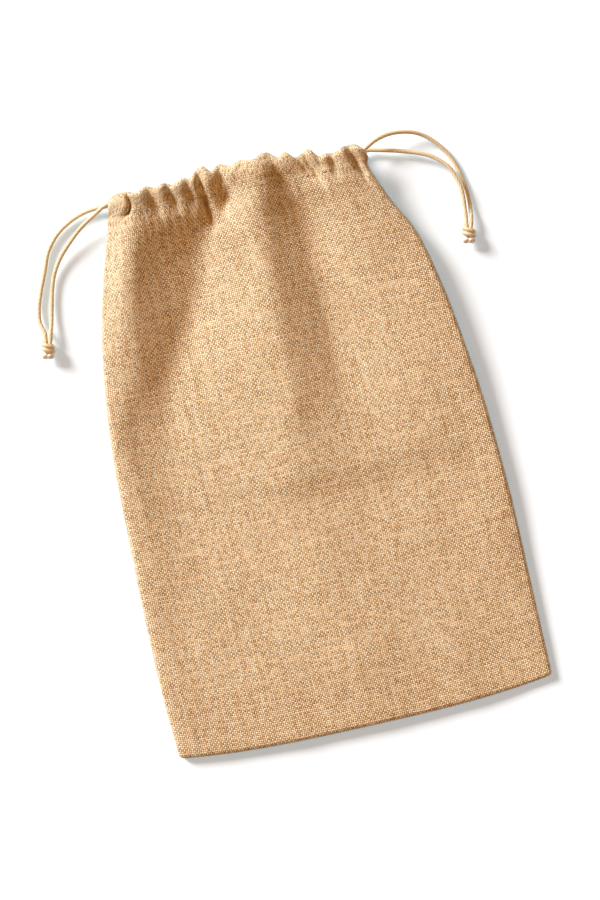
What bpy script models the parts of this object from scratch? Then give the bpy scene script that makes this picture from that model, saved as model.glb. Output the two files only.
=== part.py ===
"""Drawstring sack of woven jute, empty and lying flat, with two knotted drawcords.

The sack is one piece of cloth. It is folded across at the bottom and sewn up at both
sides, and each top edge is turned in as a casing that is open at both ends. Each cord
runs through one casing, turns back at the far side and returns through the other.
Both its ends are tied together in one overhand knot.

The frame: +X across the sack, +Y from the bottom fold towards the mouth, +Z up. The
sack's underside is Z = 0. Lengths are in millimetres up to the point where a mesh or a
curve is made, and heights y are measured from the line through the bottom corners.
"""

import math

import bmesh
import bpy
import numpy as np

MM = 0.001

# The sack's own middle, which the object's frame has as its origin (x and y, mm).
MIDDLE = (-0.8, 222.4)

CLOTH = 1.25  # thickness of the jute
GAP = 0.35  # air between touching pieces
STITCH = 427.0  # height of the casing's stitch line
STITCH_DROP = 2.5  # the stitch line is this much lower at its right end
CASING_HEIGHT = 20.0  # from the stitch line to the top fold
EDGE_RADIUS = 3.0  # half the thickness of the sack at its side and bottom folds
MOUTH_RADIUS = 4.0  # the same beside the mouth
BOTTOM_BOW = 8.0  # the bottom fold bows out by this much at its middle

CORD = 3.4  # diameter of a drawcord
CORD_PITCH = 4.4  # between the two cords that share a casing
CASING_AIR = 0.45  # air round a cord in its casing
CASING_HALF = CORD / 2 + CASING_AIR + CLOTH / 2  # from the cord's centre to the cloth's middle
BACK_CHANNEL = 4.5  # height of the cords in the lower casing
FOLD_DEPTH = 3.5  # the casing's top fold is this deep, seen from above
CASING_INSET = 16.5  # the turned-in layer ends this far short of the outer one

# Half outlines of the sack: height y, x of the side fold.
LEFT_SIDE = (
    (0, -150.0), (47, -152.5), (96, -153.0), (157, -152.0), (197, -151.0), (230, -150.0), (270, -147.0),
    (309, -143.0), (348, -135.5), (383, -127.0), (413, -118.0), (427, -114.0), (450, -111.0),
)
RIGHT_SIDE = (
    (0, 151.3), (75, 151.0), (150, 150.6), (195, 149.5), (227, 148.5), (265, 145.0), (330, 135.5),
    (367, 125.0), (399, 108.0), (430, 98.5), (450, 97.5),
)
# Height of the side folds' middle above the floor: y, z.
SIDE_HEIGHT = ((0, 3.6), (250, 3.6), (380, 5.4), (450, 9.4))

# Sections through the upper cloth. Each row: y, the height just inside the left fold, then
# x and height of five lines that run down the sack, then the height inside the right fold.
SECTIONS = (
    # y  left | left ridge  | left valley | mid ridge  | mid valley | right ridge | right
    (0, 7.0, -124, 7.6, -70, 8.2, 6, 9.0, 44, 8.6, 104, 7.8, 6.4),
    (50, 7.2, -124, 8.6, -72, 10.4, 6, 13.4, 44, 12.0, 108, 9.8, 6.8),
    (120, 7.4, -124, 9.2, -78, 10.6, 8, 13.8, 42, 12.6, 108, 10.6, 7.2),
    (180, 7.6, -129, 9.4, -98, 9.2, 12, 13.4, 40, 11.8, 108, 10.6, 7.6),
    (206, 8.0, -133, 11.6, -104, 10.4, 14, 16.6, 40, 14.6, 108, 12.6, 8.0),
    (236, 8.4, -139, 11.4, -108, 9.6, 16, 16.8, 41, 13.8, 104, 13.0, 8.4),
    (257, 8.8, -138, 13.2, -108, 7.4, 16, 17.0, 41, 11.2, 102, 13.4, 8.6),
    (300, 9.2, -120, 16.0, -95, 7.4, 14, 17.6, 37, 10.4, 100, 15.0, 9.0),
    (350, 10.2, -113, 21.6, -68, 7.6, 14, 20.2, 37, 10.4, 98, 18.4, 9.8),
    (400, 12.8, -103, 28.0, -48, 11.4, 12, 24.2, 35, 13.0, 92, 23.2, 12.6),
    (427, 19.6, -94, 30.5, -37, 20.6, 13, 27.4, 36, 20.6, 84, 26.6, 19.6),
    (450, 21.8, -90, 29.6, -34, 24.6, 14, 28.4, 36, 23.6, 84, 27.2, 21.6),
)
# How softly the cloth bends over each of the five lines.
LINE_RADII = (11.0, 7.0, 12.0, 11.0, 30.0)

# Pinches that the cords gather into the casing.
PINCHES = (
    # x at the mouth, x at the stitch line, depth, half width, height y at which it fades out
    (-91, -97, 7.5, 4.4, 412),
    (-76, -72, 4.5, 5.0, 412),
    (-61, -57, 5.0, 4.2, 418),
    (-44, -43, 3.5, 4.5, 418),
    (-35, -34, 6.0, 3.4, 400),
    (-17, -18, 5.0, 6.0, 400),
    (23, 29, 3.5, 6.0, 410),
    (47, 55, 6.8, 4.6, 412),
    (69, 70, 4.5, 4.2, 412),
    (83, 92, 6.8, 4.6, 405),
)
# Top edge of the upper casing: x, y.
TOP_EDGE = (
    (-112, 444.5), (-101, 447.3), (-92, 446.0), (-77, 447.0), (-67, 444.5), (-43, 447.0), (-38, 446.5),
    (-32, 451.8), (-25, 449.2), (-17, 451.3), (-11, 449.4), (-2, 451.5), (4, 450.2), (24, 452.0),
    (30, 448.8), (37, 450.0), (43, 445.6), (52, 448.0), (59, 442.5), (69, 441.0), (86, 445.0), (99, 441.5),
)
BACK_SHORTER = 0.8  # the lower casing ends this much lower than the upper one
BACK_RUFFLE = 1.1  # the lower casing's ruffles lift it this far off the floor
BACK_RUFFLE_PITCH = 17.0

# Line between the two cords in each casing: x, y.
CHANNEL_LINE = (
    (-112, 437.6), (-65, 437.0), (-45, 438.0), (0, 440.0), (30, 440.0), (46, 437.2), (66, 434.0), (80, 434.6),
    (99, 436.0),
)
# Height of the cords in the upper casing: x, z.
CHANNEL_HEIGHT = (
    (-112, 15.8), (-95, 15.8), (-60, 16.0), (-34, 15.8), (-14, 16.6), (8, 17.4), (30, 16.0), (52, 15.8),
    (70, 15.9), (99, 15.8),
)

# The drawcords' free strands, from the casing's end to the knot: x, y, z of the centreline.
LEFT_UPPER_STRAND = (
    (-111, 438.4, 15.4), (-121, 433.6, 12.8), (-133, 427.0, 9.4), (-145, 417.5, 6.6), (-156, 406.5, 4.6),
    (-163, 396.0, 3.5), (-168, 382.5, 3.0), (-171, 370.5, 3.2), (-174, 358.0, 4.5),
)
LEFT_LOWER_STRAND = (
    (-112, 438.8, 4.8), (-126, 438.4, 3.9), (-142, 433.4, 3.0), (-155, 425.0, 2.6), (-163.5, 415.0, 2.4),
    (-170.5, 399.0, 2.3), (-177, 384.0, 2.4), (-181, 373.0, 2.8), (-182.8, 361.0, 4.1),
)
RIGHT_UPPER_STRAND = (
    (100, 438.2, 15.2), (107, 441.8, 14.2), (118, 444.6, 12.0), (129, 444.4, 9.6), (138, 442.4, 7.5),
    (146, 438.4, 5.6), (153.5, 431.6, 4.1), (160.5, 422.5, 2.9), (165, 413.0, 2.3), (168, 402.0, 2.0),
    (169.6, 393.0, 2.0), (170.2, 383.0, 2.4), (169.6, 373.0, 3.8),
)
RIGHT_LOWER_STRAND = (
    (100, 436.6, 4.6), (109, 434.8, 4.8), (119, 432.2, 4.8), (128, 429.6, 5.0), (138, 426.0, 5.2),
    (147, 421.8, 5.4), (154, 416.4, 5.6), (160, 409.4, 5.9), (163.4, 401.0, 6.2), (165.6, 393.0, 6.4),
    (166, 385.0, 6.5), (165.2, 375.0, 6.5),
)
LEFT_TURN = -106.5  # x at which the right cord turns back
RIGHT_TURN = 89.0  # x at which the left cord turns back
TURN_REACH = 9.0  # the turn starts this far from its outermost point

# Knots: centre x, y, z, and the compass angle (degrees from +X) from the strands to the cut ends.
KNOTS = {
    "knot_left": ((-180.6, 339.7, 6.4), 257.5),
    "knot_right": ((164.2, 356.0, 6.4), 257.5),
}
KNOT_CORE = 5.2  # radius of the knot's core
KNOT_WRAP = 4.6  # radius of a wrap's centreline
KNOT_LEAN = 34.0  # each wrap leans this far (degrees), one each way
KNOT_TAIL = 10.5  # from the knot's centre to the end of a cut end
KNOT_TAIL_SPREAD = 24.0  # angle (degrees) between a cut end and the knot's axis
STRAND_SIDE = 1.95  # the two strands enter the knot side by side, this far off its axis

# How finely the cloth and the cords are divided.
FLAT_COLUMNS = 104  # columns over the flat cloth
FOLD_STEPS = 3  # columns or rows round half a fold
PANEL_ROW = 6.5  # spacing of the panel's rows
CASING_ROWS = 6  # rows of each flat layer of the casing
FOLD_ROWS = 5  # rows round the casing's top fold
CLOTH_DETAIL = 0.125  # share of the fine grid's triangles that the sack keeps
CORD_STEP = 11.0  # longest spacing of a cord's points
CORD_TURN = math.radians(34)  # most that a cord turns between two points


# ---------------------------------------------------------------- curves and helpers
def smooth_curve(at, knots, values):
    """Cubic through (knots, values): each knot has the mean slope of its two sides."""
    knots = np.asarray(knots, float)
    values = np.asarray(values, float)
    slopes = np.gradient(values, knots)
    i = np.clip(np.searchsorted(knots, at) - 1, 0, len(knots) - 2)
    span = knots[i + 1] - knots[i]
    t = np.clip((at - knots[i]) / span, 0, 1)
    ends = (1 + 2 * t) * (1 - t) ** 2 * values[i] + t * t * (3 - 2 * t) * values[i + 1]
    bends = t * (1 - t) ** 2 * slopes[i] - t * t * (1 - t) * slopes[i + 1]
    return ends + span * bends


def table_curve(at, table):
    """smooth_curve through a table of pairs."""
    return smooth_curve(at, *zip(*table))


def ramp(t, radius):
    """0 for t below 0 and t above it, with the corner rounded off within the radius."""
    bend = (np.clip(t, -radius, radius) + radius) ** 2 / (4 * radius)
    return bend + np.maximum(t - radius, 0)


def smooth_step(t):
    """0 below t = 0, 1 above t = 1, and an even S between."""
    t = np.clip(t, 0, 1)
    return t * t * (3 - 2 * t)


# ---------------------------------------------------------------- shape of the cloth
def pinch_depth(x, y):
    """How far the gathers press the upper cloth down: each is full-depth just above the stitches."""
    full = STITCH + 5
    depth = 0.0
    for x_mouth, x_stitch, deep, half, fade in PINCHES:
        centre = x_stitch + (x_mouth - x_stitch) * (y - STITCH) / CASING_HEIGHT
        profile = np.exp(-np.abs((x - centre) / half) ** 1.6)
        depth = depth + deep * profile * smooth_step((y - fade) / (full - fade))
    return depth


def upper_cloth(x, y):
    """Height of the upper panel: straight slopes between the five lines, bent over each of them."""
    table = np.array(SECTIONS, float)
    heights = table[:, 0]
    columns = [smooth_curve(y, heights, table[:, i]) for i in range(1, table.shape[1])]
    left = table_curve(y, LEFT_SIDE) + MOUTH_RADIUS
    right = table_curve(y, RIGHT_SIDE) - MOUTH_RADIUS
    xs = [left, *columns[1:-1:2], right]
    zs = [columns[0], *columns[2:-1:2], columns[-1]]
    slopes = [(zs[i + 1] - zs[i]) / (xs[i + 1] - xs[i]) for i in range(len(xs) - 1)]
    z = zs[0] + slopes[0] * (x - xs[0])
    for i, softness in enumerate(LINE_RADII):
        room = np.minimum(xs[i + 1] - xs[i], xs[i + 2] - xs[i + 1])
        radius = np.minimum(softness, 0.9 * room)
        z = z + (slopes[i + 1] - slopes[i]) * ramp(x - xs[i + 1], radius)
    z = z - pinch_depth(x, y)
    # From the stitches up, the cloth stays above the cords.
    lowest = table_curve(x, CHANNEL_HEIGHT) + CASING_HALF
    over_cords = smooth_step((y - STITCH + 2) / 8)
    return z + over_cords * ramp(lowest - z, 0.6)


def lower_cloth(x, y):
    """Height of the lower panel's middle: flat on the floor, with slight ruffles near the mouth."""
    ruffle = BACK_RUFFLE * (0.5 - 0.5 * np.cos(2 * math.pi * x / BACK_RUFFLE_PITCH))
    return CLOTH / 2 + ruffle * smooth_step(1 + (y - STITCH) / 40)


def stitch_height(x):
    """y of the casing's stitch line, which drops a little towards the right side."""
    return STITCH - STITCH_DROP * np.clip(x / 100, 0, 1) ** 2


def place_across(y, across, outward, radius, inset):
    """x at height y: across runs -1..1 over the flat cloth, outward is 0..1 round the side fold."""
    left = table_curve(y, LEFT_SIDE)
    right = table_curve(y, RIGHT_SIDE)
    half = (right - left) / 2 - radius - inset
    return (left + right) / 2 + across * half + np.sign(across) * outward * radius


def fold_angles():
    """Angles round half a fold, from its outermost point (90 degrees) to just short of flat."""
    return math.pi / 2 * (1 - np.arange(FOLD_STEPS) / FOLD_STEPS)


def grid_columns():
    """(across, angle round the side fold) for each column, from the left fold to the right one."""
    angles = fold_angles()
    ends = np.ones(FOLD_STEPS)
    across = np.concatenate([-ends, np.linspace(-1, 1, FLAT_COLUMNS), ends])
    return across, np.concatenate([angles, np.zeros(FLAT_COLUMNS), angles[::-1]])


def panel_rows(side):
    """Points (rows, columns, 3) of one panel, from the bottom fold up to the stitch line.

    Round a fold, the cloth's height between the fold's middle and the flat cloth goes with the
    cosine of the angle. In a corner the two folds' angles turn into one direction outwards.
    """
    across, column_angle = grid_columns()
    flat_rows = round((STITCH - EDGE_RADIUS) / PANEL_ROW) + 1
    row_angle = np.concatenate([fold_angles(), np.zeros(flat_rows)])[:, None]
    angle = np.maximum(row_angle, column_angle)
    heading = np.arctan2(row_angle, column_angle)
    lift = np.cos(angle)
    y = np.concatenate([EDGE_RADIUS * np.ones(FOLD_STEPS), np.linspace(EDGE_RADIUS, STITCH, flat_rows)])
    y = y[:, None] - EDGE_RADIUS * np.sin(angle) * np.sin(heading)
    radius = EDGE_RADIUS + (MOUTH_RADIUS - EDGE_RADIUS) * smooth_step((y - 300) / 100)
    x = place_across(y, across, np.sin(angle) * np.cos(heading), radius, 0)
    x_flat = place_across(y, across, 0, radius, 0)
    edge = table_curve(y, SIDE_HEIGHT)
    cloth = upper_cloth(x_flat, y) if side > 0 else lower_cloth(x_flat, y)
    z = edge + (cloth - edge) * lift
    bow = BOTTOM_BOW * (1 - np.clip(np.abs(x) / RIGHT_SIDE[0][1], 0, 1) ** 3)
    y = y - bow * (1 - y / STITCH) ** 2 + (stitch_height(x) - STITCH) * (y / STITCH) ** 6
    return np.stack([x, y, z], axis=-1)


def casing_rows(side):
    """Points of one casing: up the outer layer, round the top fold and down the turned-in layer."""
    across, column_angle = grid_columns()
    outward = np.sin(column_angle)
    lift = np.cos(column_angle)
    panel = upper_cloth if side > 0 else lower_cloth
    channel = CHANNEL_HEIGHT if side > 0 else [(x, BACK_CHANNEL) for x, _ in CHANNEL_HEIGHT]

    def spread(step, inset):
        """x of the columns, step 0..1 of the way from the stitch line to the top fold."""
        return place_across(STITCH + CASING_HEIGHT * step, across, outward, MOUTH_RADIUS, inset)

    def fold_line(x):
        """y at which the top fold begins."""
        return table_curve(x, TOP_EDGE) - FOLD_DEPTH - (BACK_SHORTER if side < 0 else 0)

    def outer_height(x, y, step):
        """Above the stitches the casing's two ends part, so that each is a short open tube."""
        edge = table_curve(STITCH, SIDE_HEIGHT)
        opening = lift + (1 - lift) * 0.9 * smooth_step(step * 3)
        return edge + (panel(x, y) - edge) * opening

    def inner_height(x, y):
        """The turned-in layer leaves the panel at the stitches and passes under or over the cords."""
        start = stitch_height(x)
        slope = panel(x + 0.5, start) - panel(x - 0.5, start)
        sewn = panel(x, start) - side * (CLOTH + GAP) * np.sqrt(1 + slope**2)
        free = table_curve(x, channel) - side * CASING_HALF
        return sewn + (free - sewn) * smooth_step((y - start) / 5)

    rows = []
    for step in np.arange(1, CASING_ROWS + 1) / CASING_ROWS:
        x = spread(step, 0)
        start = stitch_height(x)
        y = start + (fold_line(x) - start) * step
        rows.append((x, y, outer_height(x, y, step)))
    for turned in np.arange(1, FOLD_ROWS + 1) / (FOLD_ROWS + 1):
        x = spread(1, CASING_INSET * smooth_step(turned))
        outer = outer_height(x, fold_line(x), 1)
        inner = inner_height(x, fold_line(x))
        y = fold_line(x) + FOLD_DEPTH * math.sin(math.pi * turned)
        rows.append((x, y, (outer + inner) / 2 + (outer - inner) / 2 * math.cos(math.pi * turned)))
    for step in np.arange(CASING_ROWS, 0, -1) / CASING_ROWS - 0.5 / CASING_ROWS:
        x = spread(step, CASING_INSET)
        start = stitch_height(x)
        y = start + (fold_line(x) - start) * step
        rows.append((x, y, inner_height(x, y)))
    return np.stack([np.stack(row, axis=-1) for row in rows])


# ---------------------------------------------------------------- making the objects
def material(name, color, roughness):
    """A plain Principled material."""
    made = bpy.data.materials.new(name)
    made.use_nodes = True
    shader = made.node_tree.nodes["Principled BSDF"]
    shader.inputs["Base Color"].default_value = (*color, 1.0)
    shader.inputs["Roughness"].default_value = roughness
    shader.inputs["Metallic"].default_value = 0.0
    return made


def add_object(name, data, collection, frame, surface):
    """Links the data as an object under the frame."""
    made = bpy.data.objects.new(name, data)
    collection.objects.link(made)
    made.parent = frame
    data.materials.append(surface)
    return made


def add_panel(bm, points):
    """Adds a grid with one vertex for each of the points (rows, columns, 3)."""
    rows, columns, _ = points.shape
    grid = bmesh.ops.create_grid(bm, x_segments=columns - 1, y_segments=rows - 1, size=1.0)
    for vertex in grid["verts"]:
        column = round((vertex.co.x + 1) / 2 * (columns - 1))
        row = round((vertex.co.y + 1) / 2 * (rows - 1))
        vertex.co = points[row, column] * MM


def sack_mesh():
    """Middle surface of the whole cloth: two panels that meet at the bottom and side folds."""
    bm = bmesh.new()
    for side in (1, -1):
        add_panel(bm, np.concatenate([panel_rows(side), casing_rows(side)]))
    bmesh.ops.remove_doubles(bm, verts=bm.verts, dist=0.01 * MM)
    bmesh.ops.recalc_face_normals(bm, faces=bm.faces)
    mesh = bpy.data.meshes.new("sack_cloth")
    bm.to_mesh(mesh)
    bm.free()
    mesh.shade_smooth()
    return mesh


def knot_axes(name):
    """Centre of a knot, the direction towards its cut ends, and the direction across it."""
    centre, compass = KNOTS[name]
    angle = math.radians(compass)
    along = np.array([math.cos(angle), math.sin(angle), 0.0])
    across = np.array([-math.sin(angle), math.cos(angle), 0.0])
    return np.array(centre), along, across


def knot_entry(name, side):
    """Last two points of a strand, which meets the knot's core end on."""
    centre, along, across = knot_axes(name)
    start = KNOT_CORE + GAP
    return [tuple(centre - along * reach + across * side * STRAND_SIDE) for reach in (start + 3.5, start)]


def cord_route(strand_up, strand_down, entry_up, entry_down, turn, offset):
    """Control points of one whole cord: knot, upper casing, turn, lower casing, knot."""
    start = strand_up[0][0]
    heading = 1 if turn > start else -1
    first = start + heading * 12
    last = turn - heading * TURN_REACH
    upper = []
    lower = []
    for x in np.linspace(first, last, 13):
        y = table_curve(x, CHANNEL_LINE) + offset
        upper.append((x, y, table_curve(x, CHANNEL_HEIGHT)))
        lower.append((x, y, BACK_CHANNEL))
    y_turn = table_curve(turn, CHANNEL_LINE) + offset
    z_top = table_curve(last, CHANNEL_HEIGHT)
    middle = (z_top + BACK_CHANNEL) / 2
    half = (z_top - BACK_CHANNEL) / 2
    bend = []
    for angle in np.radians((60, 30, 0, -30, -60)):
        x = turn - heading * half * (1 - math.cos(angle))
        bend.append((x, y_turn, middle + half * math.sin(angle)))
    up = [*entry_up[::-1], *strand_up[::-1]]
    down = [*strand_down, *entry_down]
    return np.array([*up, *upper, *bend, *lower[::-1], *down])


def cord_points(route):
    """Points on a smooth curve through the route, closer together where it bends."""
    reach = np.concatenate([[0], np.cumsum(np.linalg.norm(np.diff(route, axis=0), axis=1))])
    fine = np.linspace(0, reach[-1], 3000)
    line = np.stack([smooth_curve(fine, reach, route[:, i]) for i in range(3)], axis=-1)
    steps = np.diff(line, axis=0)
    lengths = np.linalg.norm(steps, axis=1)
    heads = steps / lengths[:, None]
    turns = np.arccos(np.clip((heads[1:] * heads[:-1]).sum(axis=1), -1, 1))
    effort = lengths / CORD_STEP + np.concatenate([turns, [0]]) / CORD_TURN
    total = np.concatenate([[0], np.cumsum(effort)])
    wanted = np.linspace(0, total[-1], int(math.ceil(total[-1])) + 1)
    return np.stack([np.interp(wanted, total, line[:, i]) for i in range(3)], axis=-1)


def cord_curve(name, points):
    """Round cord along the points."""
    curve = bpy.data.curves.new(name, "CURVE")
    curve.dimensions = "3D"
    curve.bevel_depth = CORD / 2 * MM
    curve.bevel_resolution = 2
    curve.use_fill_caps = True
    spline = curve.splines.new("POLY")
    spline.points.add(len(points) - 1)
    for target, point in zip(spline.points, points):
        target.co = (*(point * MM), 1.0)
    return curve


def add_knot(name, collection, cutters, frame, surface):
    """Overhand knot: a core, two wraps that lean either way and two cut ends, joined into one solid."""
    centre, _, _ = knot_axes(name)
    turn = math.radians(KNOTS[name][1])
    bpy.ops.mesh.primitive_uv_sphere_add(segments=20, ring_count=12, radius=KNOT_CORE * MM)
    core = bpy.context.object
    core.name = name
    pieces = []
    for lean in (KNOT_LEAN, -KNOT_LEAN):
        bpy.ops.mesh.primitive_torus_add(
            major_radius=KNOT_WRAP * MM, minor_radius=CORD / 2 * MM, major_segments=22, minor_segments=10,
            rotation=(0, math.radians(90), math.radians(lean)),
        )
        pieces.append((bpy.context.object, f"{name}_wrap_{len(pieces) + 1}"))
    for spread in (KNOT_TAIL_SPREAD, -KNOT_TAIL_SPREAD):
        angle = math.radians(spread)
        middle = KNOT_TAIL / 2 * MM
        bpy.ops.mesh.primitive_cylinder_add(
            vertices=10, radius=CORD / 2 * MM, depth=KNOT_TAIL * MM, rotation=(0, math.radians(90), angle),
            location=(middle * math.cos(angle), middle * math.sin(angle), 0),
        )
        pieces.append((bpy.context.object, f"{name}_end_{len(pieces) - 1}"))
    for piece, piece_name in pieces:
        piece.name = piece_name
        for home in list(piece.users_collection):
            home.objects.unlink(piece)
        cutters.objects.link(piece)
        piece.parent = core
        piece.hide_render = True
        piece.display_type = "WIRE"
        joined = core.modifiers.new(piece_name, "BOOLEAN")
        joined.operation = "UNION"
        joined.object = piece
    for home in list(core.users_collection):
        home.objects.unlink(core)
    collection.objects.link(core)
    core.location = centre * MM
    core.rotation_euler = (0, 0, turn)
    core.parent = frame
    core.data.materials.append(surface)
    core.data.shade_smooth()


def main():
    for old in list(bpy.data.objects):
        bpy.data.objects.remove(old)
    collection = bpy.data.collections.new("jute_sack")
    cutters = bpy.data.collections.new("cutters")
    for made in (collection, cutters):
        bpy.context.scene.collection.children.link(made)
    frame = bpy.data.objects.new("sack_frame", None)
    frame.location = (-MIDDLE[0] * MM, -MIDDLE[1] * MM, 0)
    collection.objects.link(frame)

    jute = material("jute", (0.68, 0.45, 0.26), 0.95)
    waxed = material("waxed_cord", (0.72, 0.53, 0.31), 0.6)

    sack = add_object("sack_cloth", sack_mesh(), collection, frame, jute)
    coarser = sack.modifiers.new("coarser", "DECIMATE")
    coarser.ratio = CLOTH_DETAIL
    thickness = sack.modifiers.new("thickness", "SOLIDIFY")
    thickness.thickness = CLOTH * MM
    thickness.offset = 0
    thickness.use_even_offset = True

    routes = {
        "drawcord_left": cord_route(
            LEFT_UPPER_STRAND, LEFT_LOWER_STRAND, knot_entry("knot_left", 1), knot_entry("knot_left", -1),
            RIGHT_TURN, CORD_PITCH / 2,
        ),
        "drawcord_right": cord_route(
            RIGHT_UPPER_STRAND, RIGHT_LOWER_STRAND, knot_entry("knot_right", 1), knot_entry("knot_right", -1),
            LEFT_TURN, -CORD_PITCH / 2,
        ),
    }
    for name, route in routes.items():
        add_object(name, cord_curve(name, cord_points(route)), collection, frame, waxed)
    for name in KNOTS:
        add_knot(name, collection, cutters, frame, waxed)


main()
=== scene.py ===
"""Drawstring sack of woven jute, empty and lying flat on a pale surface.

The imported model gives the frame. The pieces follow in the order in which the sack is put
together. Their sizes are in millimetres from the line through the sack's bottom corners.
"""

import math

import bpy
import numpy as np
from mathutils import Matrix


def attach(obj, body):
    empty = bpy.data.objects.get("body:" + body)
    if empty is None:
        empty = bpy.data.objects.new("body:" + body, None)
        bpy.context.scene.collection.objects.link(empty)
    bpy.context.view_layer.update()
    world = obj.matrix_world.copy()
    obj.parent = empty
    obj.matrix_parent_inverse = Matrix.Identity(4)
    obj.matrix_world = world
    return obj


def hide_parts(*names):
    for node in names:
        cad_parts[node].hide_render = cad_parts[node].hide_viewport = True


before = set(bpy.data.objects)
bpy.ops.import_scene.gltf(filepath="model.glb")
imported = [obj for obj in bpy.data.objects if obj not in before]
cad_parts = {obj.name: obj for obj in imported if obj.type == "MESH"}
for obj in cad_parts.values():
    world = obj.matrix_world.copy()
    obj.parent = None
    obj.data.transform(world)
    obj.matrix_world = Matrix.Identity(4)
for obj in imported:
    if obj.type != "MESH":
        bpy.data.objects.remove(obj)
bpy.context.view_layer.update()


# ---------------------------------------------------------------- camera
# The sack is seen from straight above, turned a little so that its mouth leans to the left.
# The view is 714 mm high, and the camera is far enough away to show the folds undistorted.
camera_height = 1.9
camera_turn = math.radians(-12.7)
view_height = 0.7143
camera_data = bpy.data.cameras.new("camera")
camera_data.sensor_width = 36.0
camera_data.lens = 36.0 * camera_height / view_height
camera = bpy.data.objects.new("camera", camera_data)
camera.location = (-0.0032, -0.0055, camera_height)
camera.rotation_euler = (0.0, 0.0, camera_turn)
bpy.context.scene.collection.objects.link(camera)
bpy.context.scene.camera = camera


# ---------------------------------------------------------------- drawcords
# Two round cords of twisted and waxed cotton, 3.4 mm thick. Each runs through one casing of
# the mouth, turns back at the far side and returns through the other. Its two free strands
# lie on the surface beside the sack and end in one knot.
MIDDLE = np.array([-0.8, 222.4, 0.0])  # the sack's middle, which is the object's origin
METRES = 0.001  # in a millimetre
CORD = 3.4
CORD_PITCH = 3.9  # between the two cords that share a casing
LOWER_CHANNEL = 4.5  # height of the cords in the lower casing
CHANNEL_LINE = (
    (-112, 435.8), (-65, 435.6), (-45, 436.4), (0, 438.0), (30, 437.8), (46, 435.2), (66, 432.8), (80, 433.0),
    (99, 433.8),
)
CHANNEL_HEIGHT = (
    (-112, 14.6), (-95, 14.4), (-60, 14.4), (-34, 14.2), (-14, 15.0), (8, 15.8), (30, 14.6), (52, 14.2),
    (70, 14.3), (99, 14.4),
)
LEFT_UPPER_STRAND = (
    (-111, 438.4, 15.4), (-121, 433.6, 12.8), (-133, 427.0, 9.4), (-145, 417.5, 6.6), (-156, 406.5, 4.6),
    (-163, 396.0, 3.5), (-168, 382.5, 3.0), (-171, 370.5, 3.2), (-174, 358.0, 4.5),
)
LEFT_LOWER_STRAND = (
    (-112, 438.8, 4.8), (-126, 438.4, 3.9), (-142, 433.4, 3.0), (-155, 425.0, 2.6), (-163.5, 415.0, 2.4),
    (-170.5, 399.0, 2.3), (-177, 384.0, 2.4), (-181, 373.0, 2.8), (-182.8, 361.0, 4.1),
)
RIGHT_UPPER_STRAND = (
    (100, 438.2, 15.2), (107, 441.8, 14.2), (118, 444.6, 12.0), (129, 444.4, 9.6), (138, 442.4, 7.5),
    (146, 438.4, 5.6), (153.5, 431.6, 4.1), (160.5, 422.5, 2.9), (165, 413.0, 2.3), (168, 402.0, 2.0),
    (169.6, 393.0, 2.0), (170.2, 383.0, 2.4), (169.6, 373.0, 3.8),
)
RIGHT_LOWER_STRAND = (
    (100, 436.6, 4.6), (109, 434.8, 4.8), (119, 432.2, 4.8), (128, 429.6, 5.0), (138, 426.0, 5.2),
    (147, 421.8, 5.4), (154, 416.4, 5.6), (160, 409.4, 5.9), (163.4, 401.0, 6.2), (165.6, 393.0, 6.4),
    (166, 385.0, 6.5), (165.2, 375.0, 6.5),
)
LEFT_TURN = -106.5  # x at which the right cord turns back
RIGHT_TURN = 89.0  # x at which the left cord turns back
TURN_REACH = 9.0  # from the turn's outermost point back to the straight run
CHANNEL_REACH = 12.0  # from the strand's end to the first point inside the casing
CHANNEL_POINTS = 13
POINT_SPACING = 0.9
CORD_SIDES = 18
KNOT_CENTRES = {"knot_left": (-180.6, 339.7, 6.4), "knot_right": (164.2, 356.0, 6.4)}
KNOT_HEADING = math.radians(257.5)  # from the strands to the cut ends
KNOT_CORE = 5.2
KNOT_AHEAD = np.array([math.cos(KNOT_HEADING), math.sin(KNOT_HEADING), 0.0])
KNOT_BESIDE = np.array([-math.sin(KNOT_HEADING), math.cos(KNOT_HEADING), 0.0])
STRAND_SIDE = 1.95  # the two strands enter the knot this far off its axis
ENTRY_GAP = 0.35  # between a cord's end and the knot's core
ENTRY_STRAIGHT = 3.5  # length over which a strand runs straight into the knot


def smooth_curve(at, knots, values):
    """Cubic through (knots, values): each knot has the mean slope of its two sides."""
    knots = np.asarray(knots, float)
    values = np.asarray(values, float)
    slopes = np.gradient(values, knots)
    i = np.clip(np.searchsorted(knots, at) - 1, 0, len(knots) - 2)
    span = knots[i + 1] - knots[i]
    t = np.clip((at - knots[i]) / span, 0, 1)
    ends = (1 + 2 * t) * (1 - t) ** 2 * values[i] + t * t * (3 - 2 * t) * values[i + 1]
    bends = t * (1 - t) ** 2 * slopes[i] - t * t * (1 - t) * slopes[i + 1]
    return ends + span * bends


def table_curve(at, table):
    """smooth_curve through a table of pairs."""
    return smooth_curve(at, *zip(*table))


def knot_place(name, along, across, up):
    """Points of a knot: along towards its cut ends, across it, and up from its centre."""
    above = np.array([0.0, 0.0, 1.0])
    parts = [
        np.multiply.outer(np.asarray(part, float), axis)
        for part, axis in ((along, KNOT_AHEAD), (across, KNOT_BESIDE), (up, above))
    ]
    return np.array(KNOT_CENTRES[name]) + parts[0] + parts[1] + parts[2]


def distance_along(line):
    """The sum of the steps from the first point of a line to each of its points."""
    return np.concatenate([[0], np.cumsum(np.linalg.norm(np.diff(line, axis=0), axis=1))])


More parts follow.
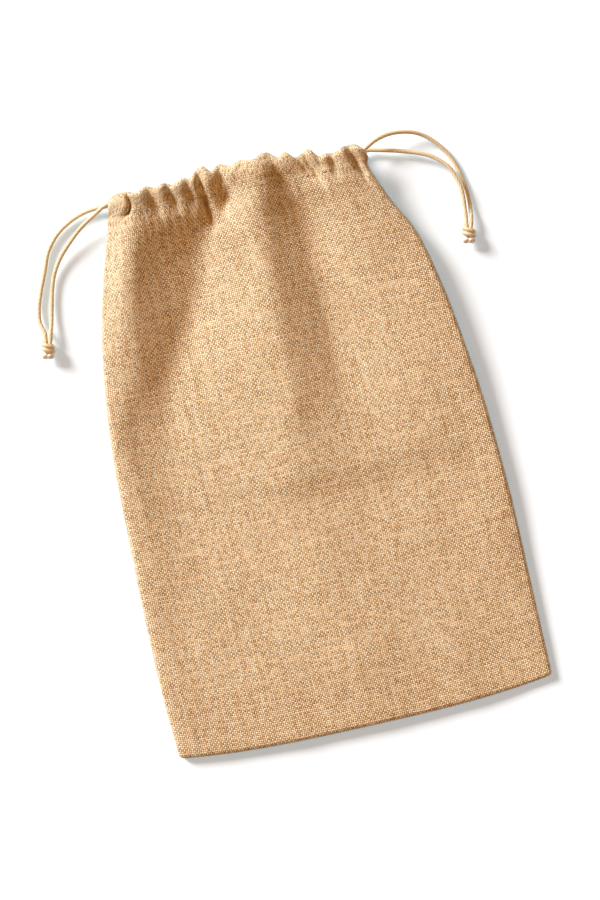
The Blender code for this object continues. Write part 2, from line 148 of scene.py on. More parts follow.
def cord_line(strand_up, strand_down, knot, turn, offset):
    """Evenly spaced points of one whole cord, and its length.

    The cord runs from the knot through the upper casing, round an arc at the turn, back through
    the lower casing and to the knot again.
    """
    start = strand_up[0][0]
    heading = 1 if turn > start else -1
    last = turn - heading * TURN_REACH
    x = np.linspace(start + heading * CHANNEL_REACH, last, CHANNEL_POINTS)
    y = table_curve(x, CHANNEL_LINE) + offset
    upper = np.stack([x, y, table_curve(x, CHANNEL_HEIGHT)], axis=-1)
    lower = np.stack([x, y, np.full(CHANNEL_POINTS, LOWER_CHANNEL)], axis=-1)
    top = table_curve(last, CHANNEL_HEIGHT)
    half = (top - LOWER_CHANNEL) / 2
    angle = np.radians([60, 30, 0, -30, -60])
    bend = np.stack([
        turn - heading * half * (1 - np.cos(angle)),
        np.full(len(angle), table_curve(turn, CHANNEL_LINE) + offset),
        (top + LOWER_CHANNEL) / 2 + half * np.sin(angle),
    ], axis=-1)
    reach = -(KNOT_CORE + ENTRY_GAP + np.array([0.0, ENTRY_STRAIGHT]))
    entry_up = knot_place(knot, reach, [STRAND_SIDE, STRAND_SIDE], [0, 0])
    entry_down = knot_place(knot, reach[::-1], [-STRAND_SIDE, -STRAND_SIDE], [0, 0])
    route = np.concatenate([entry_up, strand_up[::-1], upper, bend, lower[::-1], strand_down, entry_down])
    knots = distance_along(route)
    fine = np.linspace(0, knots[-1], 6000)
    line = np.stack([smooth_curve(fine, knots, route[:, i]) for i in range(3)], axis=-1)
    gone = distance_along(line)
    even = np.linspace(0, gone[-1], int(gone[-1] / POINT_SPACING) + 1)
    return np.stack([np.interp(even, gone, line[:, i]) for i in range(3)], axis=-1), gone[-1]


def quads(index):
    """The four corners of each cell of a grid of numbers (rows, columns)."""
    cells = [index[:-1, :-1], index[1:, :-1], index[1:, 1:], index[:-1, 1:]]
    return np.stack(cells, axis=-1).reshape(-1, 4)


def tube(line, radius, reference):
    """A closed tube round a line of points: each ring is at right angles to the line.

    radius has one row for each point and one column for each side. reference is a direction
    that the line never takes; the rings are turned by it. Returns the points, the faces and
    each face corner's place (length along in metres, share of the way round).
    """
    count, sides = radius.shape
    ahead = np.gradient(line, axis=0)
    ahead /= np.linalg.norm(ahead, axis=1)[:, None]
    beside = np.cross(ahead, reference)
    beside /= np.linalg.norm(beside, axis=1)[:, None]
    above = np.cross(beside, ahead)
    turn = np.linspace(0, 2 * math.pi, sides, endpoint=False)[None, :, None]
    ring = np.cos(turn) * beside[:, None] + np.sin(turn) * above[:, None]
    points = (line[:, None] + radius[..., None] * ring).reshape(-1, 3)
    index = np.arange(count * sides).reshape(count, sides)
    index = np.concatenate([index, index[:, :1]], axis=1)
    share = np.arange(sides + 1) / sides
    place = np.stack(np.meshgrid(distance_along(line) * METRES, share, indexing="ij"), axis=-1)
    corner = quads(np.arange(count * (sides + 1)).reshape(count, sides + 1))
    hub = count * sides
    first = np.stack([np.full(sides, hub), index[0, :-1], index[0, 1:]], axis=-1)
    last = np.stack([np.full(sides, hub + 1), index[-1, 1:], index[-1, :-1]], axis=-1)
    ends = np.repeat(place[[0, -1], 0], 3 * sides, axis=0)
    points = np.concatenate([points, line[[0, -1]]])
    faces = [*quads(index).tolist(), *first.tolist(), *last.tolist()]
    return points, faces, np.concatenate([place.reshape(-1, 2)[corner].reshape(-1, 2), ends])


def join(parts):
    """Several (points, faces, corner places) as one."""
    start = np.cumsum([0] + [len(part[0]) for part in parts[:-1]])
    faces = [[v + first for v in face] for part, first in zip(parts, start) for face in part[1]]
    points, places = (np.concatenate([part[i] for part in parts]) for i in (0, 2))
    return points, faces, places


def add_piece(name, points, faces, places, surface, slot):
    """Links a mesh as an object at the origin, with its place in the mesh and its finish."""
    mesh = bpy.data.meshes.new(name)
    mesh.from_pydata((points - MIDDLE) * METRES, [], faces)
    layer = mesh.uv_layers.new(name="cut")
    layer.data.foreach_set("uv", np.asarray(places, np.float32).ravel())
    mesh.materials.append(surface)
    mesh.shade_smooth()
    made = bpy.data.objects.new(name, mesh)
    bpy.context.scene.collection.objects.link(made)
    return made


def put(tree, kind, inputs=None, **settings):
    """Adds one node with its settings, and fills its inputs with values or other outputs."""
    node = tree.nodes.new("ShaderNode" + kind)
    for name, value in settings.items():
        setattr(node, name, value)
    for socket, value in (inputs or {}).items():
        if isinstance(value, bpy.types.NodeSocket):
            tree.links.new(value, node.inputs[socket])
        else:
            node.inputs[socket].default_value = value
    return node


def calc(tree, operation, *values):
    """One sum of numbers or outputs."""
    return put(tree, "Math", dict(enumerate(values)), operation=operation).outputs[0]


def blend_colors(tree, share, first, second, mode="MIX"):
    """A mix of two colours by a share of 0 to 1."""
    node = put(tree, "Mix", {0: share, 6: first, 7: second}, data_type="RGBA", blend_type=mode)
    return node.outputs[2]


def cord_finish():
    """Waxed cotton: golden tan, paler and darker in stretches, finely twisted with painted shade in the
    twist's grooves, and a soft shine.
    """
    made = bpy.data.materials.new("waxed_cord")
    made.use_nodes = True
    tree = made.node_tree
    shader = tree.nodes["Principled BSDF"]
    place = put(tree, "SeparateXYZ", {0: put(tree, "UVMap", uv_map="cut").outputs[0]})
    along, around = place.outputs[0], place.outputs[1]
    spot = put(tree, "TexCoord").outputs["Object"]
    patches = put(tree, "TexNoise", {"Vector": spot, "Scale": 160.0, "Detail": 3.0}).outputs[0]
    turns = calc(tree, "MULTIPLY", around, 4.0)
    yarn = calc(tree, "MULTIPLY_ADD", along, 260.0, turns)
    wave = calc(tree, "ABSOLUTE", calc(tree, "SINE", calc(tree, "MULTIPLY", yarn, math.pi)))
    fibre = put(tree, "TexNoise", {"Vector": spot, "Scale": 2200.0, "Detail": 2.0}).outputs[0]
    tint = blend_colors(tree, patches, (0.66, 0.52, 0.30, 1), (0.90, 0.80, 0.58, 1))
    # Painted shade: the colour darkens to 0.72 of itself in the grooves between the twisted strands.
    deep = put(tree, "MapRange", {0: wave, 1: 0.0, 2: 0.55, 3: 0.72, 4: 1.0}).outputs[0]
    groove_shade = put(tree, "CombineColor", {0: deep, 1: deep, 2: deep}).outputs[0]
    shaded = blend_colors(tree, 1.0, tint, groove_shade, "MULTIPLY")
    height = calc(tree, "ADD", wave, calc(tree, "MULTIPLY", fibre, 0.35))
    bump = put(tree, "Bump", {"Strength": 0.5, "Distance": 0.0003, "Height": height})
    tree.links.new(shaded, shader.inputs["Base Color"])
    tree.links.new(bump.outputs[0], shader.inputs["Normal"])
    shader.inputs["Roughness"].default_value = 0.48
    shader.inputs["Coat Weight"].default_value = 0.12
    shader.inputs["Coat Roughness"].default_value = 0.35
    return made


waxed_cord = cord_finish()
cords = {}
for side, strand_up, strand_down, turn, offset, reference in (
    ("left", LEFT_UPPER_STRAND, LEFT_LOWER_STRAND, RIGHT_TURN, CORD_PITCH / 2, (0.7, -0.7, 0)),
    ("right", RIGHT_UPPER_STRAND, RIGHT_LOWER_STRAND, LEFT_TURN, -CORD_PITCH / 2, (0.7, 0.7, 0)),
):
    line, length = cord_line(strand_up, strand_down, "knot_" + side, turn, offset)
    around = np.linspace(0, 2 * math.pi, CORD_SIDES, endpoint=False)[None, :]
    gone = np.linspace(0, length, len(line))[:, None]
    # Four soft ridges wind round the cord, and it is a little thicker in some places.
    ridges = 0.965 + 0.045 * np.abs(np.sin(2 * (around + gone * 0.42)))
    radius = CORD / 2 * ridges * (1 + 0.02 * np.sin(gone / 9.0) + 0.015 * np.sin(gone / 3.7))
    cord = add_piece("cord_" + side, *tube(line, radius, reference), waxed_cord, "waxed_cord")
    cords[side] = (cord, line, length)


# ---------------------------------------------------------------- knots
# Both ends of a cord in one overhand knot, drawn tight: the strands go in side by side, two
# turns of the doubled cord wrap round them, and two short cut ends show the pale cotton core.
WRAP_RADIUS = 4.25  # of the line that a wrap's cord follows
WRAP_LEAN = 0.42  # a wrap's slant across the knot
WRAP_POINTS = 40
WRAPS = ((-1.9, 3.6), (1.7, 3.9))  # a wrap's shift along the knot, and the angle where it starts
TAIL_END = 7.6  # from the knot's centre to the cut
TAIL_POINTS = 14
TAIL_BEND = 3.5  # from here on a tail parts from the other and rises
TAIL_FLARE = 0.5  # the loose end's share of extra thickness
CUT_LENGTH = 3.2  # of the pale cotton
KNOT_SIDES = 14


def knot_finish():
    """The cotton at a tail's cut end: paler and rougher than the waxed outside."""
    made = bpy.data.materials.new("cut_cord")
    made.use_nodes = True
    tree = made.node_tree
    shader = tree.nodes["Principled BSDF"]
    spot = put(tree, "TexCoord").outputs["Object"]
    grain = put(tree, "TexNoise", {"Vector": spot, "Scale": 1500.0, "Detail": 3.0}).outputs[0]
    tint = blend_colors(tree, grain, (0.84, 0.74, 0.60, 1), (1.0, 0.96, 0.86, 1))
    bump = put(tree, "Bump", {"Strength": 0.7, "Distance": 0.0004, "Height": grain})
    tree.links.new(tint, shader.inputs["Base Color"])
    tree.links.new(bump.outputs[0], shader.inputs["Normal"])
    shader.inputs["Roughness"].default_value = 0.85
    return made


def wrap_line(knot, shift, phase):
    """One turn of cord round the knot: a leaning ring, a little flattened from above and below."""
    turn = np.linspace(0, 2 * math.pi, WRAP_POINTS) + phase
    across = WRAP_RADIUS * np.cos(turn)
    up = 0.93 * WRAP_RADIUS * np.sin(turn)
    along = shift + WRAP_LEAN * across + 0.5 * np.sin(turn) + 0.9 * np.linspace(-1, 1, WRAP_POINTS)
    return knot_place(knot, along, across, up)


def tail_line(knot, side):
    """One cut end: out of the wraps, parting a little from the other and rising in a parabola."""
    along = np.linspace(0.5, TAIL_END, TAIL_POINTS)
    free = np.maximum(along - TAIL_BEND, 0)
    return knot_place(knot, along, side * (1.7 + 0.15 * free), 0.25 * side + 0.11 * free ** 2)


def entry_line(knot, side):
    """The end of a strand inside the wraps."""
    return knot_place(knot, np.linspace(-6.4, 1.0, 10), side * np.linspace(1.9, 1.2, 10), np.zeros(10))


cut_cord = knot_finish()
grip = np.full((WRAP_POINTS, KNOT_SIDES), 0.98 * CORD / 2)
flare = 1 + TAIL_FLARE * np.exp(-((np.arange(TAIL_POINTS) - TAIL_POINTS + 1) / 5.0) ** 2)
loose = CORD / 2 * flare[:, None] * np.ones((TAIL_POINTS, KNOT_SIDES))
for side, (cord, line, length) in cords.items():
    knot = "knot_" + side
    parts = [tube(wrap_line(knot, shift, phase), grip, KNOT_AHEAD) for shift, phase in WRAPS]
    for edge in (-1, 1):
        entry = entry_line(knot, edge)
        parts.append(tube(entry, np.full((len(entry), KNOT_SIDES), CORD / 2), (0, 0, 1)))
        parts.append(tube(tail_line(knot, edge), loose, (0, 0, 1)))
    tied = add_piece(knot + "_tied", *join(parts), waxed_cord, "waxed_cord")
    tied.data.materials.append(cut_cord)
    # The faces near the tails' ends get the cut cotton.
    tied.data.update()
    middle = np.empty(len(tied.data.polygons) * 3, np.float32)
    tied.data.polygons.foreach_get("center", middle)
    from_centre = middle.reshape(-1, 3) / METRES + MIDDLE - np.array(KNOT_CENTRES[knot])
    cut = (from_centre @ KNOT_AHEAD > TAIL_END - CUT_LENGTH).astype(np.int32)
    tied.data.polygons.foreach_set("material_index", cut)
    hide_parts(knot)
    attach(tied, "root")
    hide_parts("drawcord_" + side)
    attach(cord, "root")


# ---------------------------------------------------------------- sack
# One piece of plain-woven jute, folded across at the bottom and sewn up both sides with the
# seams inside. Each top edge is turned in and stitched down as a casing for the cords, which
# gather the mouth. The cloth is 1.25 mm thick and has about 6.4 yarns a centimetre.
CLOTH = 1.25
STITCH = 427.0  # height of the casing's stitch line
STITCH_DROP = 2.5  # of that line at the right side
CASING_HEIGHT = 20.0
PUFF = 2.4  # rise of the casing between the stitches and its edge
EDGE_RADIUS = 3.0  # reach of the bottom and side folds
MOUTH_RADIUS = 4.0  # reach of the side folds at the mouth
BOTTOM_BOW = 8.0  # the bottom's middle lies this much lower than its corners
CORD_ROOM = 0.45  # air between a cord and its casing
CASING_HALF = CORD / 2 + CORD_ROOM + CLOTH / 2
FOLD_DEPTH = 3.5  # reach of the top fold
CASING_INSET = 16.5  # the turned-in layer is this much shorter at each end
LINING_DEPTH = 3.0  # height over which that layer parts from the panel
LEFT_SIDE = (
    (0, -150.0), (47, -152.5), (96, -153.0), (157, -152.0), (197, -151.0), (230, -150.0), (270, -147.0),
    (309, -142.0), (348, -134.6), (383, -125.4), (413, -115.6), (427, -111.6), (450, -108.0),
)
RIGHT_SIDE = (
    (0, 151.3), (75, 151.0), (150, 150.6), (195, 148.6), (227, 146.4), (265, 142.2), (330, 132.4),
    (367, 123.2), (399, 107.6), (412, 102.6), (423, 98.2), (430, 97.0), (438, 98.2), (450, 97.0),
)
SIDE_HEIGHT = ((0, 3.2), (200, 3.6), (260, 4.6), (380, 7.0), (450, 9.8))
# Sections through the upper cloth: y, the height at the left fold, then x and height of five
# lines that run down the sack (ridge, valley, ridge, valley, ridge), the height at the right.
SECTIONS = (
    (0, 6.4, -124, 6.6, -70, 7.2, 6, 7.6, 44, 7.2, 104, 6.4, 4.6),
    (50, 7.6, -124, 8.4, -72, 10.0, 4, 12.0, 44, 11.2, 108, 9.2, 6.4),
    (120, 9.0, -128, 9.8, -78, 9.6, 0, 13.4, 44, 12.0, 112, 11.0, 8.8),
    (180, 11.2, -136, 12.0, -104, 6.8, -8, 14.6, 38, 12.4, 112, 12.2, 10.8),
    (206, 11.8, -138, 12.8, -106, 6.0, -10, 16.8, 37, 12.6, 112, 13.2, 11.6),
    (236, 12.4, -140, 13.2, -108, 5.8, -6, 19.2, 38, 12.2, 112, 14.0, 12.6),
    (257, 13.4, -141, 14.0, -102, 5.2, 0, 22.0, 40, 11.2, 112, 14.4, 14.2),
    (300, 14.4, -121, 16.6, -88, 4.6, 1, 24.6, 42, 8.6, 104, 15.6, 16.2),
    (350, 13.6, -113, 23.4, -58, 5.4, 2, 25.6, 42, 8.8, 92, 18.6, 18.2),
    (400, 15.6, -101, 30.0, -40, 9.4, 5, 27.0, 38, 10.2, 80, 24.0, 20.4),
    (427, 20.4, -91, 31.8, -14, 16.0, 9, 29.6, 35, 18.0, 76, 27.0, 23.4),
    (450, 21.0, -88, 28.4, -12, 23.6, 10, 27.4, 35, 22.6, 76, 26.0, 23.4),
)
LINE_RADII = (8.0, 9.0, 8.0, 7.0, 20.0)  # softness of the bend over each line
# Pinches of the casing: x at the mouth, x at the stitches, depth, half width, y where it ends.
PINCHES = (
    (-76, -72, 5.5, 4.2, 412), (-61, -57, 7.0, 3.2, 418), (-45, -43, 4.0, 3.4, 418),
    (-35, -34, 12.0, 2.6, 392), (-17, -18, 6.0, 4.6, 400), (23, 29, 4.0, 5.0, 410), (42, 50, 3.5, 3.0, 420),
    (48, 56, 9.0, 3.4, 412), (58, 62, 3.5, 3.0, 424), (70, 71, 5.5, 3.6, 414), (82, 89, 9.0, 3.0, 403),
)
TOP_EDGE = (
    (-111, 438.6), (-104, 443.6), (-98, 444.2), (-91, 443.6), (-86, 441.4), (-76, 445.0), (-70, 442.2),
    (-62, 444.6), (-56, 441.8), (-46, 445.0), (-41, 443.6), (-36, 449.0), (-30, 451.2), (-25, 445.8),
    (-17, 449.8), (-9, 446.8), (-1, 448.8), (8, 447.0), (23, 450.0), (29, 444.6), (36, 447.4), (42, 441.8),
    (50, 444.4), (55, 445.6), (59, 439.6), (67, 439.4), (73, 438.5), (82, 441.4), (91, 441.0), (99, 435.2),
)
# The round knob at the casing's left end: its middle, the radius of the crease round it, the
# crease's half width, and its depth by the direction from the middle in degrees.
KNOB = (-100.0, 434.5)
KNOB_RADIUS = 8.8
KNOB_CREASE = 1.5
KNOB_RISE = 1.8
KNOB_DEPTHS = (
    (-180, 1.0), (-155, 3.2), (-125, 1.2), (-85, 4.5), (-45, 8.5), (-5, 8.5), (20, 7.0), (42, 0), (100, 0),
    (125, 3.0), (150, 2.0), (180, 1.0),
)
BACK_SHORTER = 0.2  # the lower casing's edge lies this much lower
BACK_RUFFLE = 1.1
BACK_RUFFLE_PITCH = 17.0
SEAM_ALLOWANCE = 16.0
SEAM_RISE = 0.45
CREASE_HEIGHT = 2.4  # of the long crease's step
GATHER_PITCH = 7.4  # between the short wrinkles below the casing
GATHER_HEIGHT = 0.45
RELIEF_FADE = 14.0  # the fine relief ends over this height below the stitches

FLAT_COLUMNS = 150
FOLD_STEPS = 5
FLAT_ROWS = 112
CASING_ROWS = 14
LINING_ROWS = 6
FOLD_ROWS = 7


def ramp(t, radius):
    """0 for t below 0 and t above it, with the corner rounded off within the radius."""
    bend = (np.clip(t, -radius, radius) + radius) ** 2 / (4 * radius)
    return bend + np.maximum(t - radius, 0)


def smooth_step(t):
    """0 below t = 0, 1 above t = 1, and an even S between."""
    t = np.clip(t, 0, 1)
    return t * t * (3 - 2 * t)


def pinch_depth(x, y):
    """How far the gathers press the upper cloth down: each is full-depth just above the stitches."""
    full = STITCH + 5
    depth = 0.0
    for x_mouth, x_stitch, deep, half, fade in PINCHES:
        centre = x_stitch + (x_mouth - x_stitch) * (y - STITCH) / CASING_HEIGHT
        profile = np.exp(-np.abs((x - centre) / half) ** 1.6)
        depth = depth + deep * profile * smooth_step((y - fade) / (full - fade))
    return depth


def knob_relief(x, y):
    """The knob's dome less its crease, which is a groove along a circle, deeper on the right side."""
    off = np.hypot(x - KNOB[0], y - KNOB[1])
    direction = np.degrees(np.arctan2(y - KNOB[1], x - KNOB[0]))
    depth = np.interp(direction, *zip(*KNOB_DEPTHS))
    groove = depth * np.exp(-np.abs((off - KNOB_RADIUS) / KNOB_CREASE) ** 1.6)
    return KNOB_RISE * np.maximum(1 - (off / KNOB_RADIUS) ** 2, 0) - groove


def upper_cloth(x, y):
    """Height of the upper panel: straight slopes between the five lines, bent over each of them."""
    table = np.array(SECTIONS, float)
    heights = table[:, 0]
    columns = [smooth_curve(y, heights, table[:, i]) for i in range(1, table.shape[1])]
    left = table_curve(y, LEFT_SIDE) + MOUTH_RADIUS
    right = table_curve(y, RIGHT_SIDE) - MOUTH_RADIUS
    xs = [left, *columns[1:-1:2], right]
    zs = [columns[0], *columns[2:-1:2], columns[-1]]
    slopes = [(zs[i + 1] - zs[i]) / (xs[i + 1] - xs[i]) for i in range(len(xs) - 1)]
    z = zs[0] + slopes[0] * (x - xs[0])
    for i, softness in enumerate(LINE_RADII):
        room = np.minimum(xs[i + 1] - xs[i], xs[i + 2] - xs[i + 1])
        radius = np.minimum(softness, 0.9 * room)
        z = z + (slopes[i + 1] - slopes[i]) * ramp(x - xs[i + 1], radius)
    puff = PUFF * np.sin(math.pi * np.clip((y - STITCH) / CASING_HEIGHT, 0, 1) ** 1.5)
    z = z + puff - pinch_depth(x, y) + knob_relief(x, y)
    lowest = table_curve(x, CHANNEL_HEIGHT) + CASING_HALF
    return z + smooth_step((y - STITCH + 2) / 8) * ramp(lowest - z, 0.6)


def lower_cloth(x, y):
    """Height of the lower panel's middle: flat on the floor, with slight ruffles near the mouth."""
    ruffle = BACK_RUFFLE * (0.5 - 0.5 * np.cos(2 * math.pi * x / BACK_RUFFLE_PITCH))
    return CLOTH / 2 + ruffle * smooth_step(1 + (y - STITCH) / 40)


def small_folds(x, y):
    """Fine relief of the upper panel: the doubled seam allowance along each side, puckers beside
    the side folds, soft waves over the rest, short wrinkles that run down from the casing, and
    the long crease where the gathered part rises from the flat one. All fade at the stitches."""
    crease = CREASE_HEIGHT * (smooth_step((y - 176) / 26) - smooth_step((y - 200) / 100))
    crease = crease * smooth_step((x + 52) / 50) * smooth_step((136 - x) / 60)
    beside = np.minimum(x - table_curve(y, LEFT_SIDE), table_curve(y, RIGHT_SIDE) - x)
    seam = SEAM_RISE * (1 - smooth_step((beside - SEAM_ALLOWANCE) / 4))
    pucker = 0.20 * np.sin(2 * math.pi * y / 8.3 + 1.5 * np.sin(y / 19)) * np.exp(-((beside / 8) ** 2))
    wave = 0.34 * np.sin(x / 11.3 + 1.3 * np.sin(y / 37)) * np.sin(y / 29 + 0.7)
    wave = wave + 0.22 * np.sin(x / 6.7 + y / 16.4 + 0.4) * np.sin(x / 31 - y / 47)
    below = np.maximum(STITCH - y, 0)
    gather = GATHER_HEIGHT * np.sin(2 * math.pi * x / GATHER_PITCH + 2 * np.sin(x / 13))
    gather = gather * np.exp(-((below / 20) ** 2))
    return (seam + pucker + wave + crease + gather) * smooth_step(below / RELIEF_FADE)


def stitch_height(x):
    """y of the casing's stitch line, which drops a little towards the right side."""
    return STITCH - STITCH_DROP * np.clip(x / 100, 0, 1) ** 2


def place_across(y, across, outward, radius, inset):
    """x at height y: across runs -1..1 over the flat cloth, outward is 0..1 round the side fold."""
    left = table_curve(y, LEFT_SIDE)
    right = table_curve(y, RIGHT_SIDE)
    half = (right - left) / 2 - radius - inset
    return (left + right) / 2 + across * half + np.sign(across) * outward * radius


fold_angles = math.pi / 2 * (1 - np.arange(FOLD_STEPS) / FOLD_STEPS)
across = np.concatenate([-np.ones(FOLD_STEPS), np.linspace(-1, 1, FLAT_COLUMNS), np.ones(FOLD_STEPS)])
column_angle = np.concatenate([fold_angles, np.zeros(FLAT_COLUMNS), fold_angles[::-1]])


def panel_rows(side):
    """Points (rows, columns, 3) of one panel, from the bottom fold up to the stitch line.

    Round a fold, the cloth's height between the fold's middle and the flat cloth goes with the
    cosine of the angle. In a corner the two folds' angles turn into one direction outwards.
    """
    row_angle = np.concatenate([fold_angles, np.zeros(FLAT_ROWS)])[:, None]
    angle = np.maximum(row_angle, column_angle)
    heading = np.arctan2(row_angle, column_angle)
    y = np.concatenate([EDGE_RADIUS * np.ones(FOLD_STEPS), np.linspace(EDGE_RADIUS, STITCH, FLAT_ROWS)])
    y = y[:, None] - EDGE_RADIUS * np.sin(angle) * np.sin(heading)
    radius = EDGE_RADIUS + (MOUTH_RADIUS - EDGE_RADIUS) * smooth_step((y - 300) / 100)
    x = place_across(y, across, np.sin(angle) * np.cos(heading), radius, 0)
    x_flat = place_across(y, across, 0, radius, 0)
    edge = table_curve(y, SIDE_HEIGHT)
    cloth = upper_cloth(x_flat, y) + small_folds(x_flat, y) if side > 0 else lower_cloth(x_flat, y)
    z = edge + (cloth - edge) * np.cos(angle)
    bow = BOTTOM_BOW * (1 - np.clip(np.abs(x) / RIGHT_SIDE[0][1], 0, 1) ** 3)
    y = y - bow * (1 - y / STITCH) ** 2 + (stitch_height(x) - STITCH) * (y / STITCH) ** 6
    return np.stack([x, y, z], axis=-1)


def casing_rows(side):
    """Points of one casing: up the outer layer, round the top fold and down the turned-in layer."""
    outward = np.sin(column_angle)
    lift = np.cos(column_angle)
    panel = upper_cloth if side > 0 else lower_cloth
    channel = CHANNEL_HEIGHT if side > 0 else [(x, LOWER_CHANNEL) for x, _ in CHANNEL_HEIGHT]

    def spread(step, inset):
        """x of the columns, step 0..1 of the way from the stitch line to the top fold."""
        return place_across(STITCH + CASING_HEIGHT * step, across, outward, MOUTH_RADIUS, inset)

    def fold_line(x):
        """y at which the top fold begins."""
        return table_curve(x, TOP_EDGE) - FOLD_DEPTH - (BACK_SHORTER if side < 0 else 0)

    def outer_height(x, y, step):
        """Above the stitches the casing's two ends part, so that each is a short open tube."""
        edge = table_curve(STITCH, SIDE_HEIGHT)
        opening = lift + (1 - lift) * 0.9 * smooth_step(step * 3)
        return edge + (panel(x, y) - edge) * opening

    def inner_height(x, y):
        """The turned-in layer leaves the panel at the stitches and passes under or over the cords."""
        start = stitch_height(x)
        slope = panel(x + 0.5, start) - panel(x - 0.5, start)
        sewn = panel(x, start) - side * (CLOTH + 0.35) * np.sqrt(1 + slope**2)
        free = table_curve(x, channel) - side * CASING_HALF
        return sewn + (free - sewn) * smooth_step((y - start) / LINING_DEPTH)

    rows = []
    for step in np.arange(1, CASING_ROWS + 1) / CASING_ROWS:
        x = spread(step, 0)
        start = stitch_height(x)
        y = start + (fold_line(x) - start) * step
        rows.append((x, y, outer_height(x, y, step)))
    for turned in np.arange(1, FOLD_ROWS + 1) / (FOLD_ROWS + 1):
        x = spread(1, CASING_INSET * smooth_step(turned))
        outer = outer_height(x, fold_line(x), 1)
        inner = inner_height(x, fold_line(x))
        y = fold_line(x) + FOLD_DEPTH * math.sin(math.pi * turned)
        rows.append((x, y, (outer + inner) / 2 + (outer - inner) / 2 * math.cos(math.pi * turned)))
    for step in np.arange(LINING_ROWS, 0, -1) / LINING_ROWS - 0.5 / LINING_ROWS:
        x = spread(step, CASING_INSET)
        start = stitch_height(x)
        y = start + (fold_line(x) - start) * step
        rows.append((x, y, inner_height(x, y)))
    return np.stack([np.stack(row, axis=-1) for row in rows])


def cut_places(points, side):
    """Each point's place on the flat cloth in metres: across by the length from the row's middle,
    and along by the mean distance from row to row, counted downwards on the lower panel."""
    steps = np.linalg.norm(np.diff(points, axis=1), axis=-1)
    gone = np.concatenate([np.zeros((len(points), 1)), np.cumsum(steps, axis=1)], axis=1)
    u = gone - gone[:, -1:] / 2
    rises = np.linalg.norm(np.diff(points, axis=0), axis=-1)[:, FOLD_STEPS:-FOLD_STEPS].mean(axis=1)
    v = side * np.concatenate([[0], np.cumsum(rises)])
    return np.stack([u, np.broadcast_to(v[:, None], u.shape)], axis=-1) * METRES


WARP_PITCH = 1.555
WEFT_PITCH = 1.585


